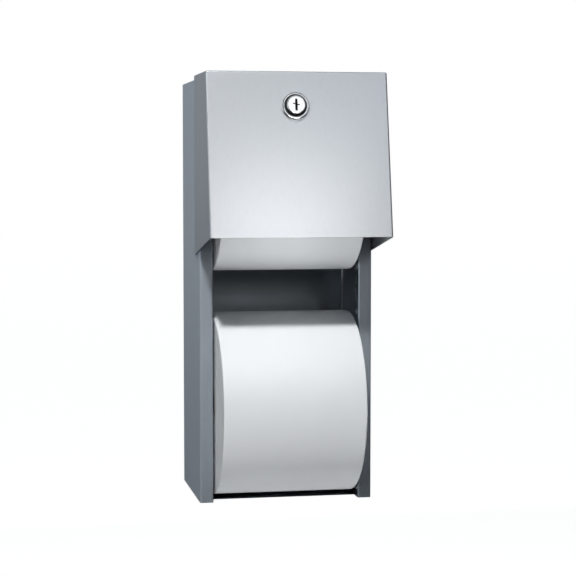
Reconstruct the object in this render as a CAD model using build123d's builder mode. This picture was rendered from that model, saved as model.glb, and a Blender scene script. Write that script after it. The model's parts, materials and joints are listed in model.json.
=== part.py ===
"""Double roll toilet paper dispenser: a folded steel cabinet for the wall, a hinged and locked hood,
and two paper rolls one above the other. X points to the viewer's right, the front faces -Y, and the
wall is the plane Y = 0. The origin is the middle of the four wall screw holes. Millimetres."""
from build123d import *
from math import atan2, cos, degrees, sin, sqrt, tan
import os

# Folded sheet of the cabinet and the hood
sheet = 0.8
bend_radius = 1.6
return_depth = 14.0
weld_tab = 8.0

# Wall screw holes, on a rectangle round the origin
wall_hole_across = 76.0
wall_hole_upright = 254.0
wall_hole_diameter = 6.0

# Paper rolls and their cardboard cores
roll_diameter = 150.0
roll_width = 116.0
roll_back_gap = 1.7
roll_floor_gap = 2.2
roll_gap = 34.7
roll_edge_radius = 0.8
flange_roll_gap = 2.0
core_diameter = 43.0
core_wall = 1.0
core_gap = 0.1

# Spindles, with a pin at each end
spindle_diameter = 32.0
spindle_wall = 2.0
spindle_overhang = 1.0
spindle_plug_length = 9.0
spindle_plug_gap = 0.05
pin_diameter = 9.8
pin_end_gap = 0.4
pin_edge = 0.8
hang_gap = 0.3

# Guide rails, which the spindle pins run down
rail_sheet = 0.8
rail_leg = 5.0
rail_bend_radius = 1.2
rail_above_pin = 24.0
pin_gap = 0.3
pin_lip = 2.5
notch_pin_gap = 2.6

# Pawls, which hold up the reserve roll
pawl_reach = 23.0
pawl_beyond_pin = 4.0
pawl_thickness = 2.6
pawl_height = 6.0
pawl_hub_diameter = 9.2
pawl_side_gap = 0.2
pawl_stud_diameter = 4.0
pawl_stud_end = 1.0
pawl_stud_roll_gap = 2.1
pawl_window_gap = 1.0
spring_wire = 0.6
spring_turns = 4
spring_coil_gap = 0.1
spring_stud_gap = 0.9

# Door hood, whose front leans out towards its lower edge
door_side_gap = 0.3
door_rise = 3.6
door_flare = 24.0
door_edge_rise = 30.3
door_ear_drop = 17.0
door_bend_radius = 1.4

# Door hinge, inside the rear lower corners of the hood
hinge_stud_diameter = 5.0
hinge_stud_end = 2.4
hinge_rise = 10.0
hinge_edge = 5.5
bush_wall = 1.4
bush_flange_width = 2.4
bush_flange_thickness = 0.8
bush_rail_gap = 2.7
bush_front_gap = 9.2
clip_thickness = 0.6
clip_rim = 2.2
clip_groove_depth = 0.7
running_gap = 0.05
clip_gap = 0.3

# Cam lock in the hood
lock_side_offset = -2.4
lock_below_top = 27.1
lock_roll_gap = 5.2
lock_head_rim = 1.5
lock_head_thickness = 2.4
lock_head_rounding = 1.5
lock_dish_depth = 1.1
lock_dish_rim = 1.2
lock_barrel_wall = 2.0
lock_flat_wall = 0.8
lock_barrel_end = 3.0
lock_hole_gap = 0.15
plug_diameter = 14.8
plug_proud = 3.0
plug_edge_radius = 0.9
keyway_height = 9.6
keyway_width = 1.9
ward_reach = 2.6
ward_width = 0.9
drive_width = 7.0
drive_flats = 5.0
wafer_count = 5
wafer_start = 4.0
wafer_thickness = 0.8
wafer_pitch = 2.0
wafer_width = 5.6
wafer_margin = 1.3
wafer_gap = 0.1
cam_rim = 0.5
cam_thickness = 2.0
cam_rear_gap = 0.3
cam_hook_rise = 3.0
cam_screw_diameter = 3.0
cam_screw_head_diameter = 7.6
cam_screw_head_thickness = 2.2
cam_screw_tip_wall = 0.8
screw_slot_width = 1.0
screw_slot_depth = 1.0
nut_wall = 2.1
nut_thickness = 3.0

# Strike, a folded tongue whose lower shelf the cam hooks up into
strike_sheet = 1.2
strike_roll_gap = 3.3
strike_width = 52.0
strike_overlap = 30.0
strike_knee = 2.0
strike_drop = 13.2
strike_shelf = 24.0
strike_bend_radius = 3.0
strike_corner_radius = 2.0
strike_slot_gap = 1.6
strike_slot_side_gap = 2.2
strike_nut_gap = 1.0
strike_nut_side_gap = 1.5
strike_stop_gap = 0.3

# How far every cutter runs past what it cuts
overrun = 1.0

# The cabinet is as wide as a roll with a rail, a pawl and its spring at each end
pawl_stud_radius = pawl_stud_diameter / 2
spring_pitch = spring_wire + spring_coil_gap
spring_length = spring_turns * spring_pitch
pawl_stack = spring_length + spring_wire + clip_gap + clip_thickness + pawl_stud_end
roll_side_gap = rail_leg - pawl_side_gap + pawl_stack + pawl_stud_roll_gap
flange_width = roll_side_gap + sheet - flange_roll_gap
half_width = roll_width / 2 + roll_side_gap + sheet
inner_wall = half_width - sheet

# It is as high as two rolls with their gaps and the strike
roll_radius = roll_diameter / 2
roll_head_gap = strike_sheet + strike_roll_gap
cabinet_height = 2 * (sheet + roll_diameter) + roll_floor_gap + roll_gap + roll_head_gap
bottom_z = -cabinet_height / 2
top_z = cabinet_height / 2
lower_roll_z = bottom_z + sheet + roll_floor_gap + roll_radius
reserve_roll_z = lower_roll_z + roll_diameter + roll_gap
spindle_rise = core_diameter / 2 - core_wall - spindle_diameter / 2 - hang_gap
lower_spindle_z = lower_roll_z + spindle_rise
reserve_spindle_z = reserve_roll_z + spindle_rise

# Depths from the wall: the rolls, the rails, the hinge in front of them and the flanges
roll_depth = sheet + roll_back_gap + roll_radius
pin_radius = pin_diameter / 2
rail_channel = pin_radius + pin_gap
rail_front = roll_depth + rail_channel + rail_sheet
rail_back = roll_depth - rail_channel - rail_sheet
hinge_stud_radius = hinge_stud_diameter / 2
bush_radius = hinge_stud_radius + bush_wall + running_gap
bush_flange_radius = hinge_stud_radius + bush_wall + bush_flange_width
hinge_depth = rail_front + bush_rail_gap + bush_flange_radius
cabinet_depth = hinge_depth + bush_flange_radius + bush_front_gap
pan_depth = cabinet_depth - return_depth
spindle_half_length = roll_width / 2 + spindle_overhang
pin_end = inner_wall - rail_sheet - pin_end_gap

# Hood and hinge
door_top_z = top_z + door_rise
door_bottom_z = reserve_roll_z - roll_radius + door_edge_rise
door_ear_z = door_bottom_z - door_ear_drop
hinge_z = door_ear_z + hinge_rise
door_rear_depth = hinge_depth - hinge_edge
door_half_width = half_width + door_side_gap + sheet
door_lean = atan2(door_flare, door_top_z - door_bottom_z)
hinge_clip_outer = inner_wall - bush_flange_thickness - clip_gap
hinge_stud_inner = hinge_clip_outer - clip_thickness - hinge_stud_end

# Lock sizes that follow its plug and its wafers
wafer_height = plug_diameter - 2 * wafer_margin
last_wafer = wafer_start + (wafer_count - 1) * wafer_pitch
lock_barrel_length = last_wafer + lock_barrel_end
lock_barrel_diameter = plug_diameter + 2 * lock_barrel_wall
lock_barrel_flats = plug_diameter + 2 * lock_flat_wall
lock_head_diameter = lock_barrel_diameter + 2 * lock_head_rim
nut_flats = lock_barrel_diameter + 2 * nut_wall
plug_front = lock_head_thickness + plug_proud
keyway_depth = plug_front + last_wafer + wafer_gap
cam_width = drive_width + 2 * cam_rim
cam_back = lock_barrel_length + cam_rear_gap + cam_thickness
cam_middle = cam_back - cam_thickness / 2
cam_screw_length = cam_rear_gap + cam_thickness + lock_barrel_end - cam_screw_tip_wall
lock_reach = cam_back + cam_screw_head_thickness

# The hood is as deep as the lock needs: its screw clears the front of the reserve roll
lock_z = door_top_z - lock_below_top
screw_radius = cam_screw_head_diameter / 2
screw_low_z = lock_z - lock_reach * sin(door_lean) - screw_radius * cos(door_lean)
screw_clear = sqrt((roll_radius + lock_roll_gap) ** 2 - (screw_low_z - reserve_roll_z) ** 2)
lock_depth = roll_depth + screw_clear + lock_reach * cos(door_lean) - screw_radius * sin(door_lean)
door_top_depth = lock_depth - lock_below_top * tan(door_lean)
door_bottom_depth = door_top_depth + door_flare

# Lock frame: its origin is on the hood's outer face and its Z axis points out of that face
lock_plane = Plane(
    origin=(lock_side_offset, -lock_depth, lock_z),
    x_dir=(1, 0, 0),
    z_dir=(0, -cos(door_lean), sin(door_lean)),
)
cam_depth = lock_depth - cam_middle * cos(door_lean)
cam_z = lock_z - cam_middle * sin(door_lean)

# The strike's shelf is low enough for the hood's top to swing over it
strike_top_z = top_z - sheet
shelf_z = strike_top_z - strike_drop
shelf_low_z = shelf_z - strike_sheet
hood_depth_at_shelf = door_top_depth + (door_top_z - shelf_z) * tan(door_lean)
strike_front = hood_depth_at_shelf - sheet / cos(door_lean) - strike_stop_gap
strike_notch_depth = strike_front + strike_stop_gap - nut_thickness / cos(door_lean) - strike_nut_gap
swing_radius = door_top_z - sheet - hinge_z
swing_gap = swing_radius - sqrt((strike_front - hinge_depth) ** 2 + (shelf_z - hinge_z) ** 2)

# The cam reaches through the shelf, whose slot has room for its swing
cam_length = (shelf_z + cam_hook_rise - cam_z) / cos(door_lean)
cam_swing = sqrt(cam_length ** 2 - ((shelf_low_z - cam_z) / cos(door_lean)) ** 2)
strike_slot_width = 2 * (cam_swing + strike_slot_side_gap)
strike_slot_depth = cam_depth - ((shelf_z + shelf_low_z) / 2 - cam_z) * tan(door_lean)
strike_slot_length = cam_thickness + 2 * strike_slot_gap
strike_notch_width = 2 * (nut_flats / sqrt(3) + strike_nut_side_gap)

# Pawl pivots lie behind the rails, level with the underside of the reserve spindle's pins
pawl_z = reserve_spindle_z - pin_radius - hang_gap - pawl_height / 2
pawl_depth = roll_depth - pawl_reach
pawl_inner = inner_wall - rail_leg + pawl_side_gap
pawl_clip_outer = pawl_inner - spring_length - spring_wire - clip_gap
pawl_stud_inner = pawl_clip_outer - clip_thickness - pawl_stud_end


def save(piece, name):
    """Name a finished piece and write it to its own file."""
    piece.part.label = name
    export_step(piece.part, f"parts/{name}.step")


def bent_sheet(plane, points, thickness, radius):
    """Section of a folded sheet, drawn along its outer face with the sheet on the left."""
    with BuildSketch(plane) as section:
        with BuildLine():
            FilletPolyline(*points, radius=radius)
            offset(amount=thickness, side=Side.LEFT)
        make_face()
    return section.sketch


def make_cabinet_wrap():
    """Back, side walls, front flanges and their returns, folded from one sheet."""
    return_x = half_width - flange_width
    right_points = [
        (return_x, -pan_depth),
        (return_x, -cabinet_depth),
        (half_width, -cabinet_depth),
        (half_width, 0),
    ]
    left_points = [(-x, y) for x, y in reversed(right_points)]
    section = bent_sheet(Plane.XY.offset(bottom_z), right_points + left_points, sheet, bend_radius)
    with BuildPart() as wrap:
        extrude(section, amount=cabinet_height)
        with BuildSketch(Plane.XZ):
            with GridLocations(wall_hole_across, wall_hole_upright, 2, 2):
                Circle(wall_hole_diameter / 2)
        extrude(amount=sheet + overrun, both=True, mode=Mode.SUBTRACT)
        for side in (-1, 1):
            with BuildSketch(Plane.YZ.offset(side * half_width)):
                with Locations((-hinge_depth, hinge_z)):
                    Circle(bush_radius + running_gap)
            extrude(amount=sheet + overrun, both=True, mode=Mode.SUBTRACT)
        # Notches that let the pins of a new spindle in past the flanges
        with BuildSketch(Plane.XZ.offset(pan_depth - overrun)):
            with Locations((0, reserve_spindle_z + pin_lip)):
                Rectangle(2 * (half_width - bend_radius), pin_diameter + 2 * notch_pin_gap)
        extrude(amount=return_depth + 2 * overrun, mode=Mode.SUBTRACT)
    save(wrap, "cabinet_wrap")


def make_cabinet_pan(name, edge_z, tab_z):
    """Top or bottom of the cabinet: a plate with a weld tab turned along each side wall."""
    points = [(-inner_wall, tab_z), (-inner_wall, edge_z), (inner_wall, edge_z), (inner_wall, tab_z)]
    if tab_z < edge_z:
        points.reverse()
    section = bent_sheet(Plane.XZ.offset(bend_radius), points, sheet, bend_radius)
    with BuildPart() as pan:
        extrude(section, amount=pan_depth - bend_radius)
    save(pan, name)


def make_lock_strike():
    """Tongue under the cabinet's top that steps down to a slotted shelf; its front stops the hood."""
    points = [
        (strike_overlap - pan_depth, strike_top_z),
        (-pan_depth - strike_knee, strike_top_z),
        (strike_shelf - strike_front, shelf_z),
        (-strike_front, shelf_z),
    ]
    side = lock_side_offset - strike_width / 2
    section = bent_sheet(Plane.YZ.offset(side), points, strike_sheet, strike_bend_radius)
    with BuildPart() as strike:
        extrude(section, amount=strike_width)
        with BuildSketch(Plane.XY.offset(shelf_low_z - overrun)):
            with Locations((lock_side_offset, -strike_slot_depth)):
                Rectangle(strike_slot_width, strike_slot_length)
            with Locations((lock_side_offset, -strike_notch_depth)):
                Rectangle(
                    strike_notch_width,
                    strike_front - strike_notch_depth + overrun,
                    align=(Align.CENTER, Align.MAX),
                )
        extrude(amount=strike_sheet + 2 * overrun, mode=Mode.SUBTRACT)
        corners = strike.edges().filter_by(Axis.Z).group_by(Axis.Y)[0]
        fillet(corners, radius=strike_corner_radius)
    save(strike, "lock_strike")


def make_guide_rail(side, name):
    """Channel on the inner side wall: a seat for the lower pin, a lip for the upper one."""
    leg_tip = inner_wall - rail_leg
    seat_z = lower_spindle_z - pin_radius - hang_gap
    rail_top = reserve_spindle_z + rail_above_pin
    lip_z = reserve_spindle_z - pin_radius + pin_lip
    lip_cut = rail_front - rail_bend_radius
    window_top = pawl_z + pawl_height / 2 + pawl_window_gap
    window_low = pawl_z - pawl_reach - pawl_beyond_pin
    points = [
        (leg_tip, -rail_front),
        (inner_wall, -rail_front),
        (inner_wall, -rail_back),
        (leg_tip, -rail_back),
    ]
    section = bent_sheet(Plane.XY.offset(seat_z - rail_sheet), points, rail_sheet, rail_bend_radius)
    with BuildPart() as rail:
        extrude(section, amount=rail_top - seat_z + rail_sheet)
        with BuildSketch(Plane.XY.offset(seat_z - rail_sheet)):
            with Locations(((leg_tip + inner_wall - rail_sheet) / 2, -roll_depth)):
                Rectangle(rail_leg - rail_sheet, 2 * rail_channel)
        extrude(amount=rail_sheet)
        # The front leg stops at the lip, so that a lifted pin comes out forwards
        with BuildSketch(Plane.YZ.offset(leg_tip - overrun)):
            with Locations((-rail_front - overrun, lip_z)):
                Rectangle(
                    rail_front - lip_cut + overrun,
                    rail_top - lip_z + overrun,
                    align=(Align.MIN, Align.MIN),
                )
        extrude(amount=rail_leg + 2 * overrun, mode=Mode.SUBTRACT)
        # Window in the rear leg that the pawl swings through
        with BuildSketch(Plane.YZ.offset(leg_tip - overrun)):
            with Locations((-rail_back - rail_sheet, window_low)):
                Rectangle(
                    rail_sheet + overrun,
                    window_top - window_low,
                    align=(Align.MIN, Align.MIN),
                )
        extrude(amount=rail_leg - rail_bend_radius + overrun, mode=Mode.SUBTRACT)
        if side < 0:
            mirror(about=Plane.YZ, mode=Mode.REPLACE)
    save(rail, name)


def make_pawl_stud(side, name):
    """Stud welded to the side wall, with a groove near its end for the clip."""
    with BuildPart() as stud:
        with BuildSketch(Plane.YZ.offset(pawl_stud_inner)):
            with Locations((-pawl_depth, pawl_z)):
                Circle(pawl_stud_radius)
        extrude(amount=inner_wall - pawl_stud_inner)
        with BuildSketch(Plane.YZ.offset(pawl_clip_outer - clip_thickness - running_gap)):
            with Locations((-pawl_depth, pawl_z)):
                Circle(pawl_stud_radius + overrun)
                Circle(pawl_stud_radius - clip_groove_depth, mode=Mode.SUBTRACT)
        extrude(amount=clip_thickness + 2 * running_gap, mode=Mode.SUBTRACT)
        if side < 0:
            mirror(about=Plane.YZ, mode=Mode.REPLACE)
    save(stud, name)


def make_pawl(side, name):
    """Arm under the spindle's pin, on a hub that turns on the stud."""
    arm = pawl_reach + pawl_beyond_pin
    with BuildPart() as pawl:
        with BuildSketch(Plane.YZ.offset(pawl_inner)):
            with Locations((-pawl_depth, pawl_z)):
                Circle(pawl_hub_diameter / 2)
            with Locations((-pawl_depth - (arm - pawl_height / 2) / 2, pawl_z)):
                SlotOverall(arm + pawl_height / 2, pawl_height)
            with Locations((-pawl_depth, pawl_z)):
                Circle(pawl_stud_radius + running_gap, mode=Mode.SUBTRACT)
        extrude(amount=pawl_thickness)
        if side < 0:
            mirror(about=Plane.YZ, mode=Mode.REPLACE)
    save(pawl, name)


def make_pawl_spring(side, name):
    """Coil round the stud that turns the pawl back up."""
    radius = pawl_stud_radius + spring_stud_gap + spring_wire / 2
    start_x = pawl_inner - spring_wire / 2 - spring_length - running_gap
    with BuildPart() as spring:
        with BuildLine() as coil:
            Helix(
                pitch=spring_pitch,
                height=spring_length,
                radius=radius,
                center=(start_x, -pawl_depth, pawl_z),
                direction=(1, 0, 0),
            )
        with BuildSketch(Plane(origin=coil.line @ 0, z_dir=coil.line % 0)):
            Circle(spring_wire / 2)
        sweep(path=coil.line)
        if side < 0:
            mirror(about=Plane.YZ, mode=Mode.REPLACE)
    save(spring, name)


def make_clip(side, name, outer_x, depth, z, stud_radius):
    """Open ring pushed into a stud's groove."""
    bore = stud_radius - clip_groove_depth + running_gap
    with BuildPart() as clip:
        with BuildSketch(Plane.YZ.offset(outer_x - clip_thickness)):
            with Locations((-depth, z)):
                Circle(stud_radius + clip_rim)
                Circle(bore, mode=Mode.SUBTRACT)
            with Locations((-depth, z)):
                Rectangle(
                    2 * bore,
                    stud_radius + clip_rim + overrun,
                    align=(Align.CENTER, Align.MAX),
                    mode=Mode.SUBTRACT,
                )
        extrude(amount=clip_thickness)
        if side < 0:
            mirror(about=Plane.YZ, mode=Mode.REPLACE)
    save(clip, name)


def make_hinge_bush(side, name):
    """Flanged bearing in the side wall for the door's stud."""
    with BuildPart() as bush:
        with BuildSketch(Plane.YZ.offset(inner_wall - bush_flange_thickness)):
            with Locations((-hinge_depth, hinge_z)):
                Circle(bush_flange_radius)
        extrude(amount=bush_flange_thickness)
        with BuildSketch(Plane.YZ.offset(inner_wall)):
            with Locations((-hinge_depth, hinge_z)):
                Circle(bush_radius)
        extrude(amount=sheet)
        with BuildSketch(Plane.YZ.offset(half_width)):
            with Locations((-hinge_depth, hinge_z)):
                Circle(hinge_stud_radius + running_gap)
        extrude(amount=sheet + bush_flange_thickness + overrun, both=True, mode=Mode.SUBTRACT)
        if side < 0:
            mirror(about=Plane.YZ, mode=Mode.REPLACE)
    save(bush, name)


def make_hinge_stud(side, name):
    """Stud welded inside the hood's side, which turns in the bush."""
    with BuildPart() as stud:
        with BuildSketch(Plane.YZ.offset(hinge_stud_inner)):
            with Locations((-hinge_depth, hinge_z)):
                Circle(hinge_stud_radius)
        extrude(amount=half_width + door_side_gap - hinge_stud_inner)
        with BuildSketch(Plane.YZ.offset(hinge_clip_outer - clip_thickness - running_gap)):
            with Locations((-hinge_depth, hinge_z)):
                Circle(hinge_stud_radius + overrun)
                Circle(hinge_stud_radius - clip_groove_depth, mode=Mode.SUBTRACT)
        extrude(amount=clip_thickness + 2 * running_gap, mode=Mode.SUBTRACT)
        if side < 0:
            mirror(about=Plane.YZ, mode=Mode.REPLACE)
    save(stud, name)


def make_door_hood():
    """Front, sides and top of the hood in one sheet, open below and behind."""
    with BuildPart() as hood:
        with BuildSketch(Plane.YZ.offset(-door_half_width)):
            with BuildLine():
                Polyline(
                    (-door_rear_depth, door_top_z),
                    (-door_top_depth, door_top_z),
                    (-door_bottom_depth, door_bottom_z),
                    (-door_rear_depth, door_ear_z),
                    close=True,
                )
            make_face()
        extrude(amount=2 * door_half_width)
        below = hood.faces().sort_by(Axis.Z)[0]
        behind = hood.faces().sort_by(Axis.Y)[-1]
        open_edges = below.edges() + behind.edges()
        bends = [edge for edge in hood.edges() if edge not in open_edges]
        fillet(bends, radius=door_bend_radius)
        below = hood.faces().filter_by(GeomType.PLANE).sort_by(Axis.Z)[0]
        behind = hood.faces().filter_by(GeomType.PLANE).sort_by(Axis.Y)[-1]
        offset(amount=-sheet, openings=[below, behind])
        with BuildSketch(lock_plane):
            Circle(lock_barrel_diameter / 2 + lock_hole_gap)
            Rectangle(
                lock_barrel_diameter + overrun,
                lock_barrel_flats + 2 * lock_hole_gap,
                mode=Mode.INTERSECT,
            )
        extrude(amount=sheet + overrun, both=True, mode=Mode.SUBTRACT)
    save(hood, "door_hood")


def make_lock_housing():
    """Round dished head in front of the hood, and a barrel with two flats through it."""
    with BuildPart() as housing:
        with BuildSketch(lock_plane):
            Circle(lock_head_diameter / 2)
        extrude(amount=lock_head_thickness)
        fillet(housing.edges().sort_by(Axis.Y)[0], radius=lock_head_rounding)
        with BuildSketch(lock_plane.offset(lock_head_thickness - lock_dish_depth)):
            Circle(lock_head_diameter / 2 - lock_head_rounding - lock_dish_rim)
        extrude(amount=lock_dish_depth + overrun, mode=Mode.SUBTRACT)
        with BuildSketch(lock_plane):
            Circle(lock_barrel_diameter / 2)
            Rectangle(lock_barrel_diameter, lock_barrel_flats, mode=Mode.INTERSECT)
        extrude(amount=-lock_barrel_length)
        with BuildSketch(lock_plane.offset(lock_head_thickness + overrun)):
            Circle(plug_diameter / 2 + running_gap)
        extrude(amount=-(lock_head_thickness + lock_barrel_length + 2 * overrun), mode=Mode.SUBTRACT)
    save(housing, "lock_housing")


def make_lock_nut():
    """Six-sided nut that clamps the barrel behind the hood's sheet."""
    with BuildPart() as nut:
        with BuildSketch(lock_plane.offset(-sheet)):
            RegularPolygon(radius=nut_flats / 2, side_count=6, major_radius=False)
            Circle(lock_barrel_diameter / 2 + running_gap, mode=Mode.SUBTRACT)
        extrude(amount=-nut_thickness)
    save(nut, "lock_nut")


def make_lock_plug():
    """Turning core with its keyway, slots for the wafers and a flatted drive for the cam."""
    with BuildPart() as plug:
        with BuildSketch(lock_plane.offset(plug_front)):
            Circle(plug_diameter / 2)
        extrude(amount=-(plug_front + lock_barrel_length + running_gap))
        fillet(plug.edges().sort_by(Axis.Y)[0], radius=plug_edge_radius)
        with BuildSketch(lock_plane.offset(-lock_barrel_length - running_gap)):
            Circle(drive_width / 2)
            Rectangle(drive_width, drive_flats, mode=Mode.INTERSECT)
        extrude(amount=-(cam_rear_gap + cam_thickness - running_gap))
        with BuildSketch(lock_plane.offset(plug_front + overrun)):
            SlotOverall(keyway_height, keyway_width, rotation=90)
            with Locations((ward_reach / 2, 0)):
                Rectangle(ward_reach, ward_width)
            with Locations((-ward_reach / 2, ward_width)):
                Rectangle(ward_reach, ward_width)
        extrude(amount=-(keyway_depth + overrun), mode=Mode.SUBTRACT)
        for index in range(wafer_count):
            with BuildSketch(lock_plane.offset(-wafer_start - index * wafer_pitch)):
                Rectangle(wafer_width + 2 * wafer_gap, wafer_height + 2 * wafer_gap)
            extrude(amount=wafer_thickness + 2 * wafer_gap, mode=Mode.SUBTRACT)
        with BuildSketch(lock_plane.offset(-cam_back)):
            Circle(cam_screw_diameter / 2)
        extrude(amount=cam_screw_length, mode=Mode.SUBTRACT)
    save(plug, "lock_plug")


def make_lock_wafers():
    """Flat wafers in the core, one to each slot."""
    with BuildPart() as wafers:
        for index in range(wafer_count):
            with BuildSketch(lock_plane.offset(wafer_gap - wafer_start - index * wafer_pitch)):
                Rectangle(wafer_width, wafer_height)
                Rectangle(keyway_width, keyway_height / 2, mode=Mode.SUBTRACT)
            extrude(amount=wafer_thickness)
    save(wafers, "lock_wafers")


def make_lock_cam():
    """Flat arm on the back of the core, level when unlocked and upright when locked."""
    with BuildPart() as cam:
        with BuildSketch(lock_plane.offset(-cam_back)):
            with Locations(((cam_length - cam_width / 2) / 2, 0)):
                SlotOverall(cam_length + cam_width / 2, cam_width)
            with BuildSketch(mode=Mode.PRIVATE) as drive:
                Circle(drive_width / 2 + running_gap)
                Rectangle(drive_width + overrun, drive_flats + 2 * running_gap, mode=Mode.INTERSECT)
            add(drive.sketch, mode=Mode.SUBTRACT)
        extrude(amount=cam_thickness)
    save(cam, "lock_cam")


def make_lock_cam_screw():
    """Slotted screw that holds the cam on the core."""
    with BuildPart() as screw:
        with BuildSketch(lock_plane.offset(-cam_back)):
            Circle(cam_screw_head_diameter / 2)
        extrude(amount=-cam_screw_head_thickness)
        with BuildSketch(lock_plane.offset(-cam_back)):
            Circle(cam_screw_diameter / 2 - running_gap)
        extrude(amount=cam_screw_length - running_gap)
        with BuildSketch(lock_plane.offset(-cam_back - cam_screw_head_thickness - overrun)):
            Rectangle(cam_screw_head_diameter + overrun, screw_slot_width)
        extrude(amount=screw_slot_depth + overrun, mode=Mode.SUBTRACT)
    save(screw, "lock_cam_screw")


def make_spindle(prefix, z):
    """Tube that the roll hangs on, and the two pinned plugs in its ends."""
    with BuildPart() as tube:
        with BuildSketch(Plane.YZ.offset(-spindle_half_length)):
            with Locations((-roll_depth, z)):
                Circle(spindle_diameter / 2)
                Circle(spindle_diameter / 2 - spindle_wall, mode=Mode.SUBTRACT)
        extrude(amount=2 * spindle_half_length)
    save(tube, f"{prefix}_spindle_tube")
    with BuildPart() as ends:
        with BuildSketch(Plane.YZ.offset(spindle_half_length - spindle_plug_length)):
            with Locations((-roll_depth, z)):
                Circle(spindle_diameter / 2 - spindle_wall - spindle_plug_gap)
        extrude(amount=spindle_plug_length)
        with BuildSketch(Plane.YZ.offset(spindle_half_length)):
            with Locations((-roll_depth, z)):
                Circle(pin_radius)
        extrude(amount=pin_end - spindle_half_length)
        chamfer(ends.edges().sort_by(Axis.X)[-1], length=pin_edge)
        mirror(about=Plane.YZ)
    save(ends, f"{prefix}_spindle_ends")


def make_roll(prefix, z):
    """Cardboard core and the paper wound on it."""
    with BuildPart() as core:
        with BuildSketch(Plane.YZ.offset(-roll_width / 2)):
            with Locations((-roll_depth, z)):
                Circle(core_diameter / 2)
                Circle(core_diameter / 2 - core_wall, mode=Mode.SUBTRACT)
        extrude(amount=roll_width)
    save(core, f"{prefix}_core")
    with BuildPart() as paper:
        with BuildSketch(Plane.YZ.offset(-roll_width / 2)):
            with Locations((-roll_depth, z)):
                Circle(roll_radius)
                Circle(core_diameter / 2 + core_gap, mode=Mode.SUBTRACT)
        extrude(amount=roll_width)
        rings = paper.edges().filter_by(GeomType.CIRCLE)
        fillet(rings.filter_by(lambda ring: ring.radius > core_diameter), radius=roll_edge_radius)
    save(paper, f"{prefix}_paper")


os.makedirs("parts", exist_ok=True)
make_cabinet_wrap()
make_cabinet_pan("cabinet_top", top_z, top_z - weld_tab)
make_cabinet_pan("cabinet_bottom", bottom_z, bottom_z + weld_tab)
make_lock_strike()
for side, word in ((-1, "left"), (1, "right")):
    make_guide_rail(side, f"{word}_guide_rail")
    make_pawl_stud(side, f"{word}_pawl_stud")
    make_pawl(side, f"{word}_pawl")
    make_pawl_spring(side, f"{word}_pawl_spring")
    make_clip(side, f"{word}_pawl_clip", pawl_clip_outer, pawl_depth, pawl_z, pawl_stud_radius)
    make_hinge_bush(side, f"{word}_hinge_bush")
    make_hinge_stud(side, f"{word}_hinge_stud")
    make_clip(side, f"{word}_hinge_clip", hinge_clip_outer, hinge_depth, hinge_z, hinge_stud_radius)
make_door_hood()
make_lock_housing()
make_lock_nut()
make_lock_plug()
make_lock_wafers()
make_lock_cam()
make_lock_cam_screw()
make_spindle("lower", lower_spindle_z)
make_spindle("reserve", reserve_spindle_z)
make_roll("lower", lower_roll_z)
make_roll("reserve", reserve_roll_z)

print("cabinet", round(2 * half_width, 3), round(cabinet_height, 3), round(cabinet_depth, 3))
print("flange width and side gap", round(flange_width, 3), round(roll_side_gap, 3))
print("hood depths", round(door_rear_depth, 3), round(door_top_depth, 3), round(door_bottom_depth, 3))
print("lean of the door front", round(degrees(door_lean), 3))
print("lock centre", lock_side_offset, round(-lock_depth, 3), round(lock_z, 3))
print("hinge axis", round(-hinge_depth, 3), round(hinge_z, 3))
print("roll axes", round(-roll_depth, 3), round(lower_roll_z, 3), round(reserve_roll_z, 3))
print("spindle axes", round(lower_spindle_z, 3), round(reserve_spindle_z, 3))
print("pawl axis", round(-pawl_depth, 3), round(pawl_z, 3))
print("strike slot", round(strike_slot_width, 3), round(strike_slot_depth, 3), round(shelf_z, 3))
print("cam length", round(cam_length, 3), "hood swings over the strike by", round(swing_gap, 3))
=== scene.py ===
"""Double roll toilet paper dispenser: finishes, paper rolls, lock lip, lamps and camera.
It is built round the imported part, in metres. X points to the viewer's right, the front faces -Y,
and the wall is the plane Y = 0."""
import json
import math

import bpy
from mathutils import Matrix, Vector


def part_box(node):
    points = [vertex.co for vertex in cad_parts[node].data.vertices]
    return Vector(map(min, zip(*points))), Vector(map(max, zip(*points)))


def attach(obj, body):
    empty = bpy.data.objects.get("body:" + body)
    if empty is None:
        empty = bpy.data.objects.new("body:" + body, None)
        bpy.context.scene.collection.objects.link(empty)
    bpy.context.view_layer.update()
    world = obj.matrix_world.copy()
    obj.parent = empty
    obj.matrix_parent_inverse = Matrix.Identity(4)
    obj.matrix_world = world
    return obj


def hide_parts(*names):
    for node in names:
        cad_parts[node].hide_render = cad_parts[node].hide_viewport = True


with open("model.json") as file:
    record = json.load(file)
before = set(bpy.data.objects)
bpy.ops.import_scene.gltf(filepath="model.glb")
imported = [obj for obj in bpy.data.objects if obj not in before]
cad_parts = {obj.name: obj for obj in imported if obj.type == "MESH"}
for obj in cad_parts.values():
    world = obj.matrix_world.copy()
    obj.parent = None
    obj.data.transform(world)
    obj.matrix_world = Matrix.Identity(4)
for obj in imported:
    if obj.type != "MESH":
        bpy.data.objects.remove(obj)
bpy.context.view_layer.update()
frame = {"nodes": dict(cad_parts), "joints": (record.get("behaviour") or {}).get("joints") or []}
nodes = frame["nodes"]

MM = 0.001

# Bends in a mesh that are smaller than this angle in degrees are shaded smooth
SMOOTH_ANGLE = 35.0

# Camera, fitted to the photograph's edges
CAMERA_PLACE = (-0.25123, -1.47310, 0.09869)
CAMERA_TURN = 0.183
CAMERA_DIP = 0.069
CAMERA_FOCAL_PIXELS = 1712.2
FRAME_PIXELS = 576
SENSOR_MM = 36.0

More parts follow.
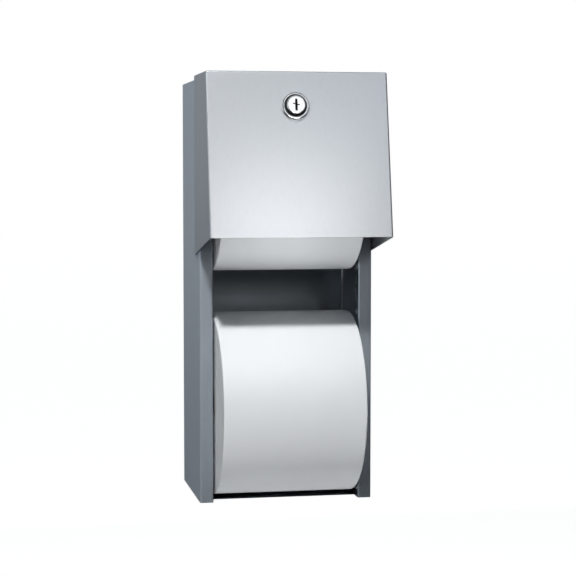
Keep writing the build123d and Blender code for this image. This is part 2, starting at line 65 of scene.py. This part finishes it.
# Paper rolls and their cores
ROLL_SIDES = 192
WINDING_RINGS = 26
WINDING_STEP = 0.10 * MM
BORE_GAP = 0.1 * MM
ROLL_EDGE = 1.2 * MM
ROLL_EDGE_STEPS = 5
ROLL_EDGE_ANGLE = 60.0
END_FACING = 0.9
TISSUE_WHITE = (0.765, 0.785, 0.802)
TISSUE_MOTTLE = 0.025
BOARD_DARK = (0.30, 0.22, 0.15)
BOARD_LIGHT = (0.50, 0.40, 0.29)

# Lock: the rolled lip of its head, and the painted shade, black, in its dish and keyway
LIP_SIDES = 96
LIP_SKIN = 0.1 * MM
LIP_ROUND = 1.0 * MM
LIP_ROUND_STEPS = 5
LIP_ROUND_ANGLE = 50.0
BRIGHT_WIDTH = 1.9 * MM
DISH_DEPTH = 1.0 * MM
DISH_STEP = 0.7 * MM
KEYWAY_REACH = 6.2 * MM
KEYWAY_EDGE = 0.15 * MM
CHROME = (0.86, 0.87, 0.88)
# Colour of the painted shade in the lock's dish and keyway
LOCK_PAINTED_SHADE = (0.018, 0.019, 0.021)

# Steel sheet: brushed outside, smooth on the back's inside, and a painted highlight, pale and not
# metallic, in the corners where it is bent
SHEET = 0.8 * MM
BACK_ROUGHNESS = 0.24
SIDE_ROUGHNESS = 0.4
BRUSHED_SPREAD = 0.06
BEND = 1.5 * MM
# Colour of the painted highlight on the inner bends
BEND_PAINTED_HIGHLIGHT = (0.93, 0.95, 0.97)

# Tints of the lamps and cards
COOL = (0.93, 1.0, 1.07)
WARM = (1.02, 1.0, 0.98)
PLAIN = (1.0, 1.0, 1.0)

# Floor, a good way below the wall cabinet. Its glow rises from near to far, to meet the white world
FLOOR_Z = -0.75
FLOOR_SIZE = 40.0
FLOOR_COLOUR = (0.86, 0.86, 0.86)
FLOOR_NEAR = 0.9
FLOOR_FAR = 1.9
FLOOR_NEAR_GLOW = 0.45
FLOOR_FAR_GLOW = 0.85

# Strength of the dim fill that matt surfaces get from all round
WORLD_FILL = 0.09

# Lamps: a stand is a turn and a rise in degrees, and a distance from the aim
LAMP_AIM = (0.0, -0.1, 0.0)

# Key lamp from the left and above, hung once for matt surfaces and once for metal
KEY_STAND = (-18.4, 46.7, 1.8)
KEY_SIZE = (0.12, 0.12)
KEY_POWER = 31.6
METAL_KEY_POWER = 17.0

# Lamp below the cabinet, which lifts the undersides of the rolls
UNDER_STAND = (3.0, -76.0, 0.7)
UNDER_SIZE = (0.5, 0.3)
UNDER_POWER = 0.8

# Spot from the front and a little below, aimed low on the front of the reserve roll
SPOT_STAND = (-14.0, -16.0, 1.6)
SPOT_CONE = 6.0
SPOT_RADIUS = 0.05
SPOT_POWER = 50.0
SPOT_AIM_Y = -0.12
SPOT_AIM_ABOVE = 0.015

# Cards all round, as a room that only the metal mirrors, and a dark card low behind the cabinet
ROOM = 2.6
ROOM_TOP = 2.4
FRONT_SPLIT = 0.3
REAR_SPLIT = 0.0
FLOOR_CARD_Z = FLOOR_Z + 0.02
ROOM_CARDS = (
    ("front_low_card", (-ROOM, -ROOM, FLOOR_Z), (ROOM, -ROOM, FRONT_SPLIT), 0.02),
    ("front_high_card", (-ROOM, -ROOM, FRONT_SPLIT), (ROOM, -ROOM, ROOM_TOP), 0.06),
    ("right_card", (ROOM, -ROOM, FLOOR_Z), (ROOM, ROOM, ROOM_TOP), 0.10),
    ("left_front_card", (-ROOM, -ROOM, FLOOR_Z), (-ROOM, 0.0, ROOM_TOP), 0.90),
    ("left_rear_card", (-ROOM, 0.0, FLOOR_Z), (-ROOM, ROOM, ROOM_TOP), 0.40),
    ("rear_high_card", (-ROOM, ROOM, REAR_SPLIT), (ROOM, ROOM, ROOM_TOP), 0.35),
    ("rear_low_card", (-ROOM, ROOM, FLOOR_Z), (ROOM, ROOM, REAR_SPLIT), 0.22),
    ("ceiling_card", (-ROOM, -ROOM, ROOM_TOP), (ROOM, ROOM, ROOM_TOP), 0.50),
    ("floor_card", (-ROOM, -ROOM, FLOOR_CARD_Z), (ROOM, ROOM, FLOOR_CARD_Z), 0.01),
    ("rear_shade_card", (-2.5, 0.4, -0.72), (-0.05, 0.4, -0.08), 0.01),
)

# Cards close to the front: left, bottom, right and top edge, level and tint
NEAR_Y = -0.5
NEAR_CARDS = (
    ("glow_low_card", -0.03, 0.08, 0.11, 0.13, 2.8, WARM),
    ("glow_high_card", -0.03, 0.13, 0.11, 0.18, 7.2, WARM),
    ("glow_top_card", -0.05, 0.18, 0.12, 0.27, 0.72, COOL),
    ("near_right_card", 0.12, 0.22, 0.26, 0.40, 1.18, COOL),
    ("lock_card", 0.042, 0.277, 0.082, 0.317, 1.2, PLAIN),
)

# The cabinet's inside reaches to the middle of the sheet of its side walls, flanges and back
wrap_low, wrap_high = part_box("cabinet_wrap")
SIDE_MIDDLE = wrap_high.x - SHEET / 2
FLANGE_MIDDLE = -wrap_low.y - SHEET / 2
BACK_MIDDLE = SHEET / 2

# The lock's axis points out of the hood, from a point on the hood's face
lock_turn = next(joint for joint in frame["joints"] if joint["name"] == "lock_turn")
lock_place = Vector(lock_turn["pos_m"])
lock_axis = Vector(lock_turn["axis"])


def outer_size(name):
    """How far a piece of the lock stands out of the hood, and its radius there."""
    points = [vertex.co - lock_place for vertex in nodes[name].data.vertices]
    outer = [point for point in points if point.dot(lock_axis) > 0.0]
    front = max(point.dot(lock_axis) for point in outer)
    radius = max(point.cross(lock_axis).length for point in outer)
    return front, radius


head_front, head_radius = outer_size("lock_housing")
plug_front, plug_radius = outer_size("lock_plug")


def deselect():
    """Nothing stays selected, so that an operator acts on one piece alone."""
    if bpy.context.object and bpy.context.object.mode != "OBJECT":
        bpy.ops.object.mode_set(mode="OBJECT")
    bpy.ops.object.select_all(action="DESELECT")


def only(piece):
    """Make this the one selected and active piece."""
    deselect()
    piece.select_set(True)
    bpy.context.view_layer.objects.active = piece


def settle(piece):
    """Put a piece's place, turn and scale into its mesh."""
    only(piece)
    bpy.ops.object.transform_apply(location=True, rotation=True, scale=True)


def round_edges(piece, width, steps, sharper_than):
    """Bevel the edges that are sharper than an angle in degrees, and smooth the rest."""
    rounding = piece.modifiers.new("round edges", "BEVEL")
    rounding.width = width
    rounding.segments = steps
    rounding.limit_method = "ANGLE"
    rounding.angle_limit = math.radians(sharper_than)
    only(piece)
    bpy.ops.object.modifier_apply(modifier=rounding.name)
    bpy.ops.object.shade_smooth_by_angle(angle=math.radians(SMOOTH_ANGLE))


class Finish:
    """A material and its node tree, with short calls for the nodes that the finishes share."""

    def __init__(self, name):
        self.material = bpy.data.materials.new(name)
        self.material.use_nodes = True
        self.tree = self.material.node_tree
        self.shader = self.tree.nodes["Principled BSDF"]
        self.place = self.add("ShaderNodeTexCoord").outputs["Object"]

    def add(self, kind, **settings):
        node = self.tree.nodes.new(kind)
        for name, value in settings.items():
            setattr(node, name, value)
        return node

    def link(self, output, target):
        self.tree.links.new(output, target)

    def to_shader(self, output, socket):
        self.link(output, self.shader.inputs[socket])

    def set(self, **values):
        """Even values go straight to the shader's own sockets."""
        for name, value in values.items():
            self.shader.inputs[name.replace("_", " ")].default_value = value

    def mapped(self, scale=(1.0, 1.0, 1.0), offset=(0.0, 0.0, 0.0)):
        node = self.add("ShaderNodeMapping")
        node.inputs["Location"].default_value = offset
        node.inputs["Scale"].default_value = scale
        self.link(self.place, node.inputs["Vector"])
        return node.outputs["Vector"]

    def noise(self, vector, scale, detail=2.0, roughness=0.5):
        node = self.add("ShaderNodeTexNoise")
        node.inputs["Scale"].default_value = scale
        node.inputs["Detail"].default_value = detail
        node.inputs["Roughness"].default_value = roughness
        self.link(vector, node.inputs["Vector"])
        return node.outputs["Fac"]

    def ramp(self, factor, low, high):
        node = self.add("ShaderNodeMapRange")
        node.inputs["To Min"].default_value = low
        node.inputs["To Max"].default_value = high
        self.link(factor, node.inputs["Value"])
        return node.outputs["Result"]

    def blend_colours(self, factor, first, second):
        """Mix of two colours, the first of them a socket or three numbers."""
        node = self.add("ShaderNodeMix", data_type="RGBA")
        if isinstance(first, bpy.types.NodeSocket):
            self.link(first, node.inputs["A"])
        else:
            node.inputs["A"].default_value = (*first, 1.0)
        node.inputs["B"].default_value = (*second, 1.0)
        self.link(factor, node.inputs["Factor"])
        return node.outputs["Result"]

    def blend_values(self, factor, first, second):
        node = self.add("ShaderNodeMix", data_type="FLOAT")
        self.link(factor, node.inputs["Factor"])
        self.link(first, node.inputs["A"])
        self.link(second, node.inputs["B"])
        return node.outputs["Result"]

    def reckon(self, operation, first, second):
        """One sum on two values, each a socket or a number."""
        node = self.add("ShaderNodeMath", operation=operation)
        for slot, value in zip(node.inputs, (first, second)):
            if isinstance(value, (int, float)):
                slot.default_value = value
            else:
                self.link(value, slot)
        return node.outputs["Value"]

    def reckon_vector(self, operation, first, second=None):
        """One sum on a vector from a socket, with a fixed second vector where it needs one."""
        node = self.add("ShaderNodeVectorMath", operation=operation)
        self.link(first, node.inputs[0])
        if second is not None:
            node.inputs[1].default_value = second
        return node.outputs

    def split(self, vector):
        node = self.add("ShaderNodeSeparateXYZ")
        self.link(vector, node.inputs["Vector"])
        return node.outputs

    def join(self, **parts):
        node = self.add("ShaderNodeCombineXYZ")
        for axis, value in parts.items():
            self.link(value, node.inputs[axis.upper()])
        return node.outputs["Vector"]

    def bump(self, height, distance, strength=1.0, below=None):
        node = self.add("ShaderNodeBump")
        node.inputs["Strength"].default_value = strength
        node.inputs["Distance"].default_value = distance
        self.link(height, node.inputs["Height"])
        if below is not None:
            self.link(below, node.inputs["Normal"])
        return node.outputs["Normal"]


def cabinet_masks(steel):
    """Masks for the cabinet's inside, its side walls, and the painted highlight on the upright bends in
    the back corners.
    """
    place = steel.split(steel.place)
    across = steel.reckon("ABSOLUTE", place["X"], 0.0)
    within = steel.reckon("LESS_THAN", across, SIDE_MIDDLE)
    behind_flange = steel.reckon("GREATER_THAN", place["Y"], -FLANGE_MIDDLE)
    before_back = steel.reckon("LESS_THAN", place["Y"], -BACK_MIDDLE)
    inside = steel.reckon("MULTIPLY", steel.reckon("MULTIPLY", within, behind_flange), before_back)
    side = steel.reckon("GREATER_THAN", across, SIDE_MIDDLE - SHEET)
    by_side = steel.reckon("GREATER_THAN", across, SIDE_MIDDLE - BEND)
    by_back = steel.reckon("GREATER_THAN", place["Y"], -BACK_MIDDLE - BEND)
    painted_bend_highlight = steel.reckon("MULTIPLY", steel.reckon("MULTIPLY", by_side, by_back), inside)
    return inside, side, painted_bend_highlight


def brushed_steel(name, dark, light, roughness):
    """Satin stainless steel, brushed upright outside, smoother inside, and with a painted highlight at
    its inner bends.
    """
    steel = Finish(name)
    grain = steel.noise(steel.mapped(scale=(1.0, 1.0, 0.02)), scale=3200.0, detail=3.0, roughness=0.65)
    mottle = steel.noise(steel.mapped(scale=(1.0, 1.0, 0.45)), scale=420.0, detail=3.0, roughness=0.6)
    tone = steel.reckon("ADD", grain, mottle)
    outer = steel.blend_colours(steel.ramp(tone, -0.5, 1.0), dark, light)
    inside, side, painted_bend_highlight = cabinet_masks(steel)
    # The inner bends get a painted highlight: a pale colour that is not metallic
    steel.to_shader(steel.blend_colours(painted_bend_highlight, outer, BEND_PAINTED_HIGHLIGHT), "Base Color")
    brushed = steel.ramp(grain, roughness - BRUSHED_SPREAD, roughness + BRUSHED_SPREAD)
    smooth = steel.ramp(side, BACK_ROUGHNESS, SIDE_ROUGHNESS)
    steel.to_shader(steel.blend_values(inside, brushed, smooth), "Roughness")
    steel.to_shader(steel.reckon("SUBTRACT", 1.0, painted_bend_highlight), "Metallic")
    steel.to_shader(steel.bump(grain, distance=0.02 * MM, strength=0.3), "Normal")
    return steel.material


def swirl_marks(metal):
    """Faint uneven marks of turned and plated metal."""
    return metal.noise(metal.mapped(), scale=900.0, detail=3.0, roughness=0.6)


def turned_metal(name, colour, roughness):
    """Plated or turned metal with faint swirl marks."""
    metal = Finish(name)
    metal.set(Metallic=1.0, Base_Color=(*colour, 1.0))
    metal.to_shader(metal.ramp(swirl_marks(metal), roughness * 0.7, roughness * 1.4), "Roughness")
    return metal.material


def lock_chrome(name, within, below):
    """Bright chrome with painted shade: black within a radius of the lock's axis and below a height
    above the hood.
    """
    chrome = Finish(name)
    from_lock = chrome.reckon_vector("SUBTRACT", chrome.place, lock_place)["Vector"]
    height = chrome.reckon_vector("DOT_PRODUCT", from_lock, lock_axis)["Value"]
    sideways = chrome.reckon_vector("CROSS_PRODUCT", from_lock, lock_axis)["Vector"]
    radius = chrome.reckon_vector("LENGTH", sideways)["Value"]
    near_axis = chrome.reckon("LESS_THAN", radius, within)
    sunk = chrome.reckon("LESS_THAN", height, below)
    # Painted shade: black where the dish and keyway sink near the axis
    painted_shade = chrome.reckon("MULTIPLY", near_axis, sunk)
    chrome.to_shader(chrome.blend_colours(painted_shade, CHROME, LOCK_PAINTED_SHADE), "Base Color")
    chrome.to_shader(chrome.reckon("SUBTRACT", 1.0, painted_shade), "Metallic")
    chrome.to_shader(
        chrome.reckon("ADD", chrome.ramp(swirl_marks(chrome), 0.05, 0.10), chrome.ramp(painted_shade, 0.0, 0.3)),
        "Roughness",
    )
    return chrome.material


def moulded_plastic(name, dark, light, roughness):
    """Injection moulded plastic with a fine spark-eroded texture."""
    plastic = Finish(name)
    fine = plastic.noise(plastic.mapped(), scale=2400.0)
    broad = plastic.noise(plastic.mapped(), scale=60.0)
    plastic.to_shader(plastic.blend_colours(broad, dark, light), "Base Color")
    plastic.to_shader(plastic.ramp(fine, roughness - 0.05, roughness + 0.08), "Roughness")
    plastic.to_shader(plastic.bump(fine, distance=0.05 * MM, strength=0.4), "Normal")
    return plastic.material


def core_board(name):
    """Fibrous grey-brown board of the rolls' cores."""
    board = Finish(name)
    fibres = board.noise(board.mapped(scale=(1.0, 0.35, 1.0)), scale=700.0, detail=4.0, roughness=0.6)
    board.to_shader(
        board.blend_colours(board.ramp(fibres, -0.2, 1.2), BOARD_DARK, BOARD_LIGHT),
        "Base Color",
    )
    board.set(Roughness=0.85)
    board.to_shader(board.bump(fibres, distance=0.05 * MM, strength=0.5), "Normal")
    return board.material


def tissue(name, centre, white):
    """White tissue: faint crepe round the roll, and the edges of the wound layers at its ends."""
    paper = Finish(name)
    centred = paper.split(paper.mapped(offset=(0.0, -centre.y, -centre.z)))
    radius = paper.reckon_vector("LENGTH", paper.join(x=centred["Y"], y=centred["Z"]))["Value"]
    layers = paper.noise(paper.join(x=radius), scale=1500.0, detail=3.0, roughness=0.7)
    crepe = paper.noise(paper.mapped(scale=(0.25, 1.0, 1.0)), scale=900.0, detail=3.0, roughness=0.55)
    soft = paper.noise(paper.mapped(), scale=35.0)
    darker = [tone * (1.0 - TISSUE_MOTTLE) for tone in white]
    lighter = [tone * (1.0 + TISSUE_MOTTLE) for tone in white]
    paper.to_shader(paper.blend_colours(soft, darker, lighter), "Base Color")
    paper.set(Roughness=0.55, Sheen_Weight=0.08, Sheen_Roughness=0.3)
    wound = paper.bump(layers, distance=0.12 * MM, strength=0.5)
    paper.to_shader(paper.bump(crepe, distance=0.03 * MM, strength=0.5, below=wound), "Normal")
    return paper.material


def select_end(roll, side):
    """Select the flat face at one end of a roll, and stay in edit mode."""
    bpy.ops.object.mode_set(mode="EDIT")
    bpy.ops.mesh.select_mode(type="FACE")
    bpy.ops.mesh.select_all(action="DESELECT")
    bpy.ops.object.mode_set(mode="OBJECT")
    for face in roll.data.polygons:
        face.select = len(face.vertices) == ROLL_SIDES and face.normal.x * side > END_FACING
    bpy.ops.object.mode_set(mode="EDIT")


def wound_roll(name, material):
    """A roll with its bore, the low ridges of its wound layers at both ends and soft outer edges."""
    low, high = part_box(f"{name}_paper")
    core_low, core_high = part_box(f"{name}_core")
    radius = (high.z - low.z) / 2
    bore = (core_high.z - core_low.z) / 2 + BORE_GAP
    deselect()
    bpy.ops.mesh.primitive_cylinder_add(
        vertices=ROLL_SIDES,
        radius=radius,
        depth=high.x - low.x,
        location=(low + high) / 2,
        rotation=(0.0, math.pi / 2, 0.0),
    )
    roll = bpy.context.object
    roll.name = f"{name}_wound_paper"
    settle(roll)
    for side in (-1.0, 1.0):
        select_end(roll, side)
        for ring in range(WINDING_RINGS):
            rise = -WINDING_STEP if ring % 2 == 0 else WINDING_STEP
            bpy.ops.mesh.inset(thickness=(radius - bore) / WINDING_RINGS, depth=rise)
        bpy.ops.mesh.delete(type="ONLY_FACE")
        bpy.ops.object.mode_set(mode="OBJECT")
    bpy.ops.object.mode_set(mode="EDIT")
    bpy.ops.mesh.select_mode(type="EDGE")
    bpy.ops.mesh.select_all(action="DESELECT")
    bpy.ops.mesh.select_non_manifold(extend=False)
    bpy.ops.mesh.bridge_edge_loops()
    bpy.ops.mesh.select_all(action="SELECT")
    bpy.ops.mesh.normals_make_consistent(inside=False)
    bpy.ops.object.mode_set(mode="OBJECT")
    round_edges(roll, ROLL_EDGE, ROLL_EDGE_STEPS, ROLL_EDGE_ANGLE)
    roll.data.materials.clear()
    roll.data.materials.append(material)
    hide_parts(f"{name}_paper")
    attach(roll, f"{name}_roll")


def lock_lip(material):
    """Rolled lip of the lock's head, drawn out ring by ring from the hood to the foot of its dish."""
    top = head_front + LIP_SKIN
    radius, height = head_radius + LIP_SKIN, LIP_SKIN
    rings = (
        (radius, top),
        (plug_radius + DISH_STEP, top),
        (plug_radius + LIP_SKIN, top - DISH_DEPTH),
    )
    deselect()
    bpy.ops.mesh.primitive_circle_add(vertices=LIP_SIDES, radius=radius, location=(0.0, 0.0, height))
    lip = bpy.context.object
    lip.name = "lock_lip"
    settle(lip)
    bpy.ops.object.mode_set(mode="EDIT")
    bpy.ops.mesh.select_all(action="SELECT")
    for next_radius, next_height in rings:
        share = next_radius / radius
        bpy.ops.mesh.extrude_edges_move()
        bpy.ops.transform.resize(value=(share, share, 1.0))
        bpy.ops.transform.translate(value=(0.0, 0.0, next_height - height))
        radius, height = next_radius, next_height
    bpy.ops.mesh.select_all(action="SELECT")
    bpy.ops.mesh.normals_make_consistent(inside=False)
    bpy.ops.object.mode_set(mode="OBJECT")
    round_edges(lip, LIP_ROUND, LIP_ROUND_STEPS, LIP_ROUND_ANGLE)
    lip.rotation_euler = lock_axis.to_track_quat("Z", "Y").to_euler()
    lip.location = lock_place
    settle(lip)
    lip.data.materials.append(material)
    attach(lip, "door")


def dress(names, material):
    """Give carried-over nodes a finish."""
    for name in names:
        for place in nodes[name].material_slots:
            place.material = material


def toward(turn, rise, distance, aim):
    """Point at a distance from the aim, turned to the right of the front and raised, in degrees."""
    turn, rise = math.radians(turn), math.radians(rise)
    way = Vector((math.sin(turn) * math.cos(rise), -math.cos(turn) * math.cos(rise), math.sin(rise)))
    return aim + way * distance


def hang_lamp(name, data, place, aim):
    """Put a lamp in its place, facing its aim and unseen by the camera."""
    lamp = bpy.data.objects.new(name, data)
    bpy.context.scene.collection.objects.link(lamp)
    lamp.location = place
    lamp.rotation_euler = (aim - place).to_track_quat("-Z", "Y").to_euler()
    lamp.visible_camera = False
    return lamp


def area_lamp(name, place, size, power, aim):
    """Rectangular lamp that faces its aim."""
    data = bpy.data.lights.new(name, "AREA")
    data.shape = "RECTANGLE"
    data.size, data.size_y = size
    data.energy = power
    return hang_lamp(name, data, place, aim)


def spot_lamp(name, place, cone, power, aim):
    """Soft-edged spot lamp whose cone is in degrees."""
    data = bpy.data.lights.new(name, "SPOT")
    data.energy = power
    data.spot_size = math.radians(cone)
    data.spot_blend = 1.0
    data.shadow_soft_size = SPOT_RADIUS
    return hang_lamp(name, data, place, aim)


def seen_as_white(tree):
    """1 for rays that should meet the white background: from the camera, a mirror or through glass."""
    path = tree.nodes.new("ShaderNodeLightPath")
    either = tree.nodes.new("ShaderNodeMath")
    either.operation = "MAXIMUM"
    tree.links.new(path.outputs["Is Camera Ray"], either.inputs[0])
    tree.links.new(path.outputs["Is Glossy Ray"], either.inputs[1])
    all_three = tree.nodes.new("ShaderNodeMath")
    all_three.operation = "MAXIMUM"
    tree.links.new(either.outputs["Value"], all_three.inputs[0])
    tree.links.new(path.outputs["Is Transmission Ray"], all_three.inputs[1])
    return all_three.outputs["Value"]


def make_world(fill, fill_colour):
    """White to the camera and to mirrors, and a dim cool fill on everything matt."""
    world = bpy.data.worlds.new("studio")
    bpy.context.scene.world = world
    world.use_nodes = True
    tree = world.node_tree
    back = tree.nodes["Background"]
    white = seen_as_white(tree)
    strength = tree.nodes.new("ShaderNodeMapRange")
    strength.inputs["To Min"].default_value = fill
    strength.inputs["To Max"].default_value = 1.0
    colour = tree.nodes.new("ShaderNodeMix")
    colour.data_type = "RGBA"
    colour.inputs["A"].default_value = (*fill_colour, 1.0)
    colour.inputs["B"].default_value = (*PLAIN, 1.0)
    tree.links.new(white, strength.inputs["Value"])
    tree.links.new(white, colour.inputs["Factor"])
    tree.links.new(strength.outputs["Result"], back.inputs["Strength"])
    tree.links.new(colour.outputs["Result"], back.inputs["Color"])


def make_floor(near_glow, far_glow):
    """Pale floor that keeps the dispenser's shadow near it and melts into the white further off."""
    deselect()
    bpy.ops.mesh.primitive_plane_add(size=FLOOR_SIZE, location=(0.0, 0.0, FLOOR_Z))
    floor = bpy.context.object
    floor.name = "floor"
    finish = Finish("pale_floor")
    finish.set(Base_Color=(*FLOOR_COLOUR, 1.0), Roughness=0.9, Emission_Color=(*PLAIN, 1.0))
    distance = finish.reckon_vector("LENGTH", finish.place)["Value"]
    glow = finish.add("ShaderNodeMapRange", interpolation_type="SMOOTHSTEP")
    glow.inputs["From Min"].default_value = FLOOR_NEAR
    glow.inputs["From Max"].default_value = FLOOR_FAR
    glow.inputs["To Min"].default_value = near_glow
    glow.inputs["To Max"].default_value = far_glow
    finish.link(distance, glow.inputs["Value"])
    strength = finish.reckon("MULTIPLY", glow.outputs["Result"], seen_as_white(finish.tree))
    finish.to_shader(strength, "Emission Strength")
    floor.data.materials.append(finish.material)


def make_card(name, low, high, level, colour):
    """A card between two corners, seen only in the metal's reflections."""
    spans = [far - near for near, far in zip(low, high)]
    thin = spans.index(0.0)
    width, height = ((spans[2], spans[1]), (spans[0], spans[2]), (spans[0], spans[1]))[thin]
    turn = ((0.0, math.pi / 2, 0.0), (math.pi / 2, 0.0, 0.0), (0.0, 0.0, 0.0))[thin]
    deselect()
    bpy.ops.mesh.primitive_plane_add(
        size=1.0,
        location=[(near + far) / 2 for near, far in zip(low, high)],
        rotation=turn,
    )
    card = bpy.context.object
    card.name = name
    card.scale = (width, height, 1.0)
    settle(card)
    finish = Finish(f"{name}_grey")
    finish.set(
        Base_Color=(0.0, 0.0, 0.0, 1.0),
        Specular_IOR_Level=0.0,
        Emission_Color=(*colour, 1.0),
        Emission_Strength=level,
    )
    card.data.materials.append(finish.material)
    card.visible_camera = False
    card.visible_diffuse = False
    card.visible_transmission = False
    card.visible_shadow = False


def make_camera():
    """Camera with the photograph's place, turn, dip and focal length."""
    data = bpy.data.cameras.new("camera")
    data.sensor_width = SENSOR_MM
    data.lens = CAMERA_FOCAL_PIXELS / FRAME_PIXELS * SENSOR_MM
    camera = bpy.data.objects.new("camera", data)
    bpy.context.scene.collection.objects.link(camera)
    camera.location = CAMERA_PLACE
    camera.rotation_euler = (math.pi / 2 - CAMERA_DIP, 0.0, -CAMERA_TURN)
    bpy.context.scene.camera = camera


# Finishes, each with its darker and lighter colour and its roughness, or with one colour
hood_steel = brushed_steel("hood_steel", (0.49, 0.51, 0.535), (0.54, 0.56, 0.585), 0.43)
cabinet_steel = brushed_steel("cabinet_steel", (0.505, 0.55, 0.60), (0.56, 0.605, 0.655), 0.72)
inner_steel = brushed_steel("inner_steel", (0.42, 0.44, 0.46), (0.50, 0.52, 0.54), 0.48)
# Lock chrome with painted shade, black, in the keyway of the plug and in the dish of the lip
plug_chrome = lock_chrome("plug_chrome", KEYWAY_REACH, plug_front - KEYWAY_EDGE)
lip_chrome = lock_chrome("lip_chrome", head_radius - BRIGHT_WIDTH, plug_front)
lock_zinc = turned_metal("lock_zinc", (0.62, 0.62, 0.60), 0.34)
stud_steel = turned_metal("stud_steel", (0.56, 0.57, 0.58), 0.30)
spring_steel = turned_metal("spring_steel", (0.42, 0.42, 0.44), 0.28)
# Brass wafers, darkened to near black as painted shade where they sit in the keyway
wafer_brass = turned_metal("wafer_brass", (0.09, 0.065, 0.035), 0.5)
bush_nylon = moulded_plastic("bush_nylon", (0.72, 0.71, 0.66), (0.78, 0.77, 0.72), 0.45)
pawl_plastic = moulded_plastic("pawl_plastic", (0.020, 0.020, 0.022), (0.028, 0.028, 0.030), 0.45)
spindle_plastic = moulded_plastic("spindle_plastic", (0.025, 0.025, 0.027), (0.035, 0.035, 0.037), 0.38)
board = core_board("core_board")

# Each node of the part gets its finish
dress(("cabinet_wrap", "cabinet_top", "cabinet_bottom"), cabinet_steel)
dress(("door_hood",), hood_steel)
dress(("lock_strike", "left_guide_rail", "right_guide_rail"), inner_steel)
dress(("lock_housing",), lip_chrome)
dress(("lock_plug",), plug_chrome)
dress(("lock_nut", "lock_cam", "lock_cam_screw"), lock_zinc)
dress(("lock_wafers",), wafer_brass)
for side in ("left", "right"):
    dress((f"{side}_pawl_stud", f"{side}_hinge_stud"), stud_steel)
    dress((f"{side}_pawl_spring", f"{side}_pawl_clip", f"{side}_hinge_clip"), spring_steel)
    dress((f"{side}_hinge_bush",), bush_nylon)
    dress((f"{side}_pawl",), pawl_plastic)

# Wound rolls in place of the plain ones, and the lock's lip
for roll_name in ("lower", "reserve"):
    dress((f"{roll_name}_spindle_tube", f"{roll_name}_spindle_ends"), spindle_plastic)
    dress((f"{roll_name}_core",), board)
    paper_low, paper_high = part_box(f"{roll_name}_paper")
    wound_roll(roll_name, tissue(f"{roll_name}_tissue", (paper_low + paper_high) / 2, TISSUE_WHITE))

lock_lip(lip_chrome)

# Studio
make_world(WORLD_FILL, COOL)
make_floor(FLOOR_NEAR_GLOW, FLOOR_FAR_GLOW)

middle = Vector(LAMP_AIM)
key_place = toward(*KEY_STAND, middle)
area_lamp("key", key_place, KEY_SIZE, KEY_POWER, middle).visible_glossy = False
area_lamp("metal_key", key_place, KEY_SIZE, METAL_KEY_POWER, middle).visible_diffuse = False
under_place = toward(*UNDER_STAND, middle)
area_lamp("under_fill", under_place, UNDER_SIZE, UNDER_POWER, middle).visible_glossy = False
reserve_front = Vector((0.0, SPOT_AIM_Y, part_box("reserve_paper")[0].z + SPOT_AIM_ABOVE))
spot_place = toward(*SPOT_STAND, reserve_front)
spot_lamp("reserve_spot", spot_place, SPOT_CONE, SPOT_POWER, reserve_front).visible_glossy = False

for card_name, low_corner, high_corner, level in ROOM_CARDS:
    make_card(card_name, low_corner, high_corner, level, COOL)
for card_name, left, bottom, right, top, level, tint in NEAR_CARDS:
    make_card(card_name, (left, NEAR_Y, bottom), (right, NEAR_Y, top), level, tint)

make_camera()
bpy.context.scene.view_settings.view_transform = "Standard"
